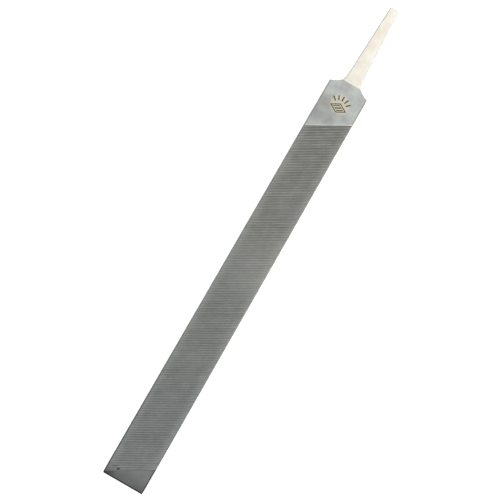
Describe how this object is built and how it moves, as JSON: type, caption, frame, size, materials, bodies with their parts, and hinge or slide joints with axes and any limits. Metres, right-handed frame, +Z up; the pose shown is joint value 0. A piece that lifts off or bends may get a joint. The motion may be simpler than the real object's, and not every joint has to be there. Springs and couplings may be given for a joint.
{
  "type": "flat file",
  "caption": "Blunt flat file with parallel sides, single cut on its faces and edges, a plain heel with scooped shoulders, and a tapered tang for a push-on handle.",
  "frame": {"origin": "on the table under the middle of the whole file, tang included", "axes": "+X along the file from the tang to the point, +Y across its width, +Z up through its thickness, with the marked face on top"},
  "size_m": [0.2408, 0.0192, 0.004],
  "materials": {
    "body_steel": "hardened high-carbon steel inside the cut faces",
    "heel_steel": "ground along its length to a satin grey",
    "point_steel": "hardened, dull dark grey, left plain past the last row",
    "tang_steel": "forged and ground, bright, with a pale cream cast",
    "tooth_steel": "chisel-cut and hardened, dull grey with brighter crests",
    "mark_film": "thin brown-gold film in a shallow etched mark"
  },
  "bodies": {
    "root": {"body": "body_steel", "heel": "heel_steel", "point": "point_steel", "tang": "tang_steel", "upper_teeth": "tooth_steel", "lower_teeth": "tooth_steel", "left_edge_teeth": "tooth_steel", "right_edge_teeth": "tooth_steel", "heel_mark": "mark_film"}
  },
  "joints": []
}
